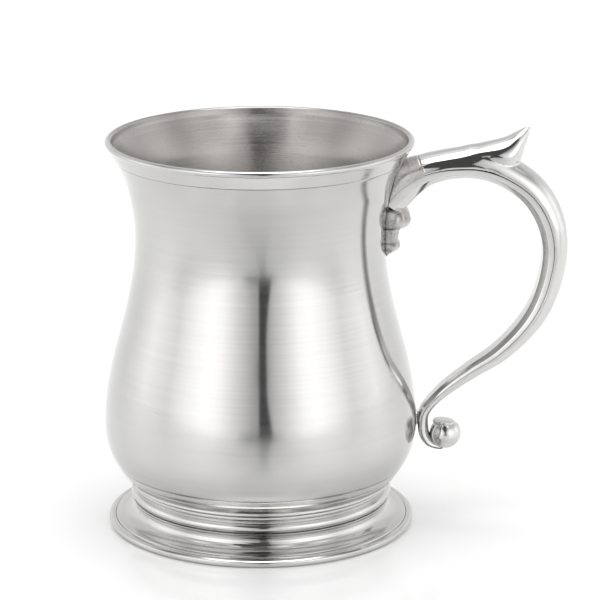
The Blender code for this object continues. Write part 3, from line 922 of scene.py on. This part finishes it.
@dataclass
class Joints:
    """What fastens the handle to the bell: the drop, the lower stud and the solder."""

    draught: Draught
    stud: Pair = (32.6, 1.7)
    # The stud's rings: distance from the vessel's axis, and share of its radius.
    stud_rings: Rows = (
        (46.5, 1.5), (48.75, 1.45), (48.95, 1.15), (49.2, 1.0), (49.5, 1.0),
    )
    # The solder's outline: height and half width.
    solder_levels: Rows = (
        (113.8, 4.6), (110.0, 5.4), (103.0, 5.2), (99.3, 4.9), (97.0, 5.7), (94.4, 4.6),
        (93.5, 3.6), (89.8, 3.3), (88.0, 3.8), (86.0, 2.4), (84.7, 0.9),
    )
    # The drop: height, half width and reach from the vessel's axis, and the corner's cut.
    drop_levels: Rows = (
        (100.3, 3.9, 43.4, 1.4), (99.9, 4.7, 44.5, 1.8),
        (99.2, 5.3, 45.5, 2.1), (97.2, 5.75, 46.2, 2.2),
        (95.2, 5.4, 45.6, 2.1), (94.3, 4.8, 44.4, 1.8), (94.0, 4.0, 43.5, 1.4), (93.7, 3.5, 43.1, 1.2),
        (92.8, 3.3, 42.7, 1.0), (90.4, 3.3, 42.4, 1.0), (89.6, 3.4, 42.5, 1.1), (89.1, 3.8, 43.0, 1.3),
        (88.2, 4.0, 43.0, 1.5), (87.0, 3.4, 42.1, 1.4), (86.0, 2.2, 40.9, 1.0), (85.1, 0.8, 39.5, 0.3),
    )

    def build(self) -> None:
        """Make the joint's pieces."""
        self.drop()
        self.lower_stud()
        self.solder()

    def ring(self, inner: float, outer: float, half: float, height: float) -> np.ndarray:
        """A level ring with full corners, between two distances from the axis."""
        a = circle(48) + math.pi / 48
        bulge = (np.abs(np.cos(a)) ** 4 + np.abs(np.sin(a)) ** 4) ** -0.25
        middle, reach = (inner + outer) / 2, (outer - inner) / 2
        return np.stack([middle + reach * bulge * np.cos(a), half * bulge * np.sin(a),
                         np.full(len(a), height)], -1)

    def cut_ring(self, half: float, reach: float, cut: float, height: float) -> np.ndarray:
        """A level ring with two cut corners, from inside the bell out to a reach."""
        corners = filleted([(34.0, half, 0), (reach - cut, half, 0.25), (reach, half - cut * 1.15, 0.3),
                            (reach, 0.0, 0)], 5)
        ring = corners + [(x, -y) for x, y in corners[::-1]][1:]
        return np.array([(x, y, height) for x, y in ring])

    def drop(self) -> Item:
        """Roll, stem and bead under the joint, as cast, with cut corners."""
        rings = []
        for t in even(0.0, len(self.drop_levels) - 1.0, 121):
            z, half, reach, cut = catmull(self.drop_levels, t)
            rings.append(self.cut_ring(half, reach, min(cut, half * 0.7), z))
        return self.draught.lofted("joint_drop", "handle_drop", CAST, np.array(rings), 0.12)

    def lower_stud(self) -> Item:
        """The short stud between belly and scroll, flared where it is soldered on."""
        z, radius = self.stud
        rings, a = [], circle(48)
        for x, share in self.stud_rings:
            r = radius * share
            rings.append(np.stack([np.full(48, x), r * np.cos(a), z + r * np.sin(a)], -1))
        return self.draught.lofted("belly_stud", "lower_stud", CAST, np.array(rings), 0.02)

    def solder(self) -> Item:
        """The film of solder that shows as a dark line round the joint."""
        rings = []
        for t in even(0.0, len(self.solder_levels) - 1.0, 80):
            z, half = catmull(self.solder_levels, t)
            near = Bell().radius(z)
            rings.append(self.ring(near - 6.0, near + 0.4, half, z))
        return self.draught.lofted("joint_solder", "upper_solder", SOLDER, np.array(rings), 0.02)


# --- The studio ---


@dataclass
class Studio:
    """A white table, a little greyer toward its front edge as painted shade, in a soft light tent that is
    open toward the camera, and the camera.
    """

    table_front: float = -0.62
    table_reach: float = 1.45
    table_gloss: float = 1.9
    table_roughness: float = 0.11
    # The table's grey toward the front and further back, and where it changes: painted shade for the less lit
    # front of the table.
    table_painted_shade_greys: Pair = (0.74, 0.97)
    painted_shade_reach: Pair = (-0.22, -0.075)
    tent_radius: float = 1.6
    lens: float = 186.0
    eye: tuple[float, float, float] = (-0.01080, -0.92391, 0.32670)
    look_down: float = 15.495
    # The tent's brightness round the object: degrees from the camera's side, and radiance.
    tent_light: Rows = (
        (0.0, 0.60), (5.0, 0.66), (10.0, 0.88), (20.0, 1.28), (32.0, 1.84), (42.0, 1.98),
        (54.0, 1.78), (72.0, 1.30), (96.0, 1.62), (125.0, 1.10), (180.0, 0.90),
    )
    # The same for the tent's high part, which lights the inside.
    high_light: Rows = (
        (0.0, 0.10), (14.0, 0.30), (30.0, 1.50), (42.0, 0.90), (54.0, 0.45), (66.0, 0.90),
        (78.0, 1.40), (95.0, 0.60), (112.0, 0.20), (135.0, 0.90), (180.0, 1.30),
    )
    high_elevation: Pair = (44.0, 52.0)
    upper_share: float = 0.42
    fade_elevation: Pair = (20.0, 42.0)
    back_share: float = 0.85
    back_elevation: Pair = (19.0, 24.0)
    overhead_elevation: Pair = (66.0, 71.0)
    overhead_light: float = 3.7
    # The gap, in degrees round and above: narrowest at the waist, and wider to one side above.
    gap_waist: float = 14.0
    gap_flare: float = 0.15
    gap_centre: float = 1.4
    gap_half: float = 2.8
    gap_light: float = 0.09
    gap_above: float = 15.0
    gap_rise: Pair = (16.0, 46.0)
    # The dark rail on the table's front edge: its middle, its reach to either side, and its height.
    rail: tuple[float, float, float] = (-0.02, 0.19, 0.013)
    rail_tone: Row4 = (0.03, 0.03, 0.035, 1.0)

    def build(self) -> None:
        """Set the table, the tent, the background and the camera."""
        self.table()
        self.edge_rail()
        self.tent()
        self.background()
        self.camera()

    def table(self) -> Item:
        """A pale table that runs back from its front edge, a little greyer toward that edge as painted shade.
        """
        reach, front = self.table_reach, self.table_front
        nodes = Nodes("table_white_painted_shade")
        spot = nodes.add("SeparateXYZ", {0: nodes.add("TexCoord").outputs["Object"]})
        # Painted shade: the table's colour is made greyer toward its front edge, standing in for less light
        # falling there.
        share = nodes.spread(spot.outputs["Y"], *self.table_painted_shade_greys, *self.painted_shade_reach)
        painted_grey = nodes.add("CombineColor", {"Red": share, "Green": share, "Blue": share})
        nodes.link(painted_grey.outputs[0], "Base Color")
        nodes.shader.inputs["Roughness"].default_value = self.table_roughness
        nodes.shader.inputs["IOR"].default_value = self.table_gloss
        return self.panel("table", nodes, [(-reach, front, 0), (reach, front, 0), (reach, reach, 0),
                                           (-reach, reach, 0)])

    def panel(self, name: str, nodes: Nodes, corners: list[tuple[float, float, float]]) -> Item:
        """Stage one flat four-cornered face.

        Args:
            name: its name.
            nodes: the tree of its material.
            corners: its corners, in order.

        Returns:
            The panel.
        """
        mesh = bpy.data.meshes.new(name)
        mesh.from_pydata(corners, [], [(0, 1, 2, 3)])
        mesh.materials.append(nodes.material)
        item = placed(name, mesh)
        return item

    def edge_rail(self) -> Item:
        """The low dark rail that tapers out along the table's front edge."""
        middle, reach, height = self.rail
        level = reach * 0.45
        outline = [(-reach, 0.0), (reach, 0.0), (level, height), (-level, height)]
        nodes = Nodes("rail_dark")
        nodes.shader.inputs["Base Color"].default_value = self.rail_tone
        nodes.shader.inputs["Roughness"].default_value = 0.6
        return self.panel("edge_rail", nodes, [(middle + x, self.table_front, z) for x, z in outline])

    def tent(self) -> Item:
        """The tent: a soft dome, brightest at two diffusers, with a dark gap for the camera."""
        bm = bmesh.new()
        bmesh.ops.create_uvsphere(bm, u_segments=96, v_segments=48, radius=self.tent_radius)
        mesh = bpy.data.meshes.new("tent")
        bm.to_mesh(mesh)
        bm.free()
        item = placed("tent", mesh)
        nodes = Nodes("tent_light")
        strength = self.tent_strength(nodes)
        light = nodes.add("Emission", {"Color": (1, 1, 1, 1), "Strength": strength})
        output = nodes.tree.nodes["Material Output"]
        nodes.tree.links.new(light.outputs[0], output.inputs["Surface"])
        mesh.materials.append(nodes.material)
        item.visible_camera = False
        return item

    def tent_strength(self, nodes: Nodes) -> Socket:
        """The tent's radiance at each of its own points.

        Args:
            nodes: the tent material's tree.

        Returns:
            A socket with the strength, from the point's direction round and above the table.
        """
        spot = nodes.add("SeparateXYZ", {0: nodes.add("TexCoord").outputs["Object"]})
        turned_away = nodes.math("MULTIPLY", spot.outputs["Y"], -1.0)
        azimuth = nodes.math("DEGREES", nodes.math("ARCTAN2", spot.outputs["X"], turned_away))
        rise = nodes.math("DIVIDE", spot.outputs["Z"], self.tent_radius)
        elevation = nodes.math("DEGREES", nodes.math("ARCSINE", rise))
        round_share = nodes.math("DIVIDE", nodes.math("ABSOLUTE", azimuth), 180.0)
        level = self.round_light(nodes, round_share, self.tent_light)
        high = self.round_light(nodes, round_share, self.high_light)
        behind = nodes.spread(round_share, 0.0, 1.0, 0.55, 0.75)
        fading = nodes.add("Mix", {
            "Factor": behind,
            2: nodes.spread(elevation, 1.0, self.upper_share, *self.fade_elevation),
            3: nodes.spread(elevation, 1.0, self.back_share, *self.back_elevation),
        }).outputs[0]
        overhead = nodes.spread(elevation, 0.0, 1.0, *self.overhead_elevation)
        upper = nodes.add("Mix", {"Factor": nodes.spread(elevation, 0.0, 1.0, *self.high_elevation),
                                  2: nodes.math("MULTIPLY", level, fading), 3: high}).outputs[0]
        lit = nodes.add("Mix", {"Factor": overhead, 2: upper, 3: self.overhead_light}).outputs[0]
        flare = nodes.math("ABSOLUTE", nodes.math("SUBTRACT", elevation, self.gap_waist))
        flare = nodes.math("MINIMUM", nodes.math("MULTIPLY", flare, self.gap_flare), 3.0)
        above = nodes.spread(elevation, 0.0, self.gap_above, *self.gap_rise)
        centre = nodes.math("SUBTRACT", nodes.math("ADD", flare, self.gap_centre), above)
        half = nodes.math("ADD", nodes.math("ADD", flare, self.gap_half), above)
        off = nodes.math("ABSOLUTE", nodes.math("SUBTRACT", azimuth, centre))
        off = nodes.math("SUBTRACT", off, half)
        open_share = nodes.math("MAXIMUM", nodes.spread(off, 0.0, 1.0, -0.3, 0.3), overhead)
        return nodes.add("Mix", {"Factor": open_share, 2: self.gap_light, 3: lit}).outputs[0]

    def round_light(self, nodes: Nodes, share: Socket,
                    levels: Sequence[Pair]) -> Socket:
        """A radiance that changes round the table.

        Args:
            nodes: the tent material's tree.
            share: how far round from the camera's side, from zero to one at the back.
            levels: degrees from the camera's side, and radiance.

        Returns:
            A socket with the radiance.
        """
        ramp = nodes.add("ValToRGB", {0: share})
        stops = ramp.color_ramp.elements
        while len(stops) < len(levels):
            stops.new(0.5)
        brightest = max(level for _, level in levels)
        for stop, (degrees, level) in zip(stops, levels):
            stop.position = degrees / 180
            stop.color = (level / brightest,) * 3 + (1.0,)
        return nodes.math("MULTIPLY", ramp.outputs[0], brightest)

    def background(self) -> None:
        """A white background behind the tent."""
        world = bpy.data.worlds.new("white_room")
        world.use_nodes = True
        world.node_tree.nodes["Background"].inputs["Color"].default_value = (1, 1, 1, 1)
        bpy.context.scene.world = world
        bpy.context.scene.view_settings.view_transform = "Standard"

    def camera(self) -> Item:
        """The camera, slightly above the rim and looking down at the bell."""
        data = bpy.data.cameras.new("camera")
        data.lens = self.lens
        item = placed("camera", data)
        item.location = self.eye
        item.rotation_euler = (math.radians(90 - self.look_down), 0.0, 0.0)
        bpy.context.scene.camera = item
        return item


def main() -> None:
    """Build the tankard and its studio, in order."""
    logging.basicConfig(level=logging.INFO, format="%(name)s: %(message)s")
    draught = Draught.from_frame()
    for part in (Vessel(draught), Foot(draught), Handle(draught), Joints(draught), Studio()):
        LOG.info("building %s", type(part).__name__)
        part.build()


if __name__ == "__main__":
    main()
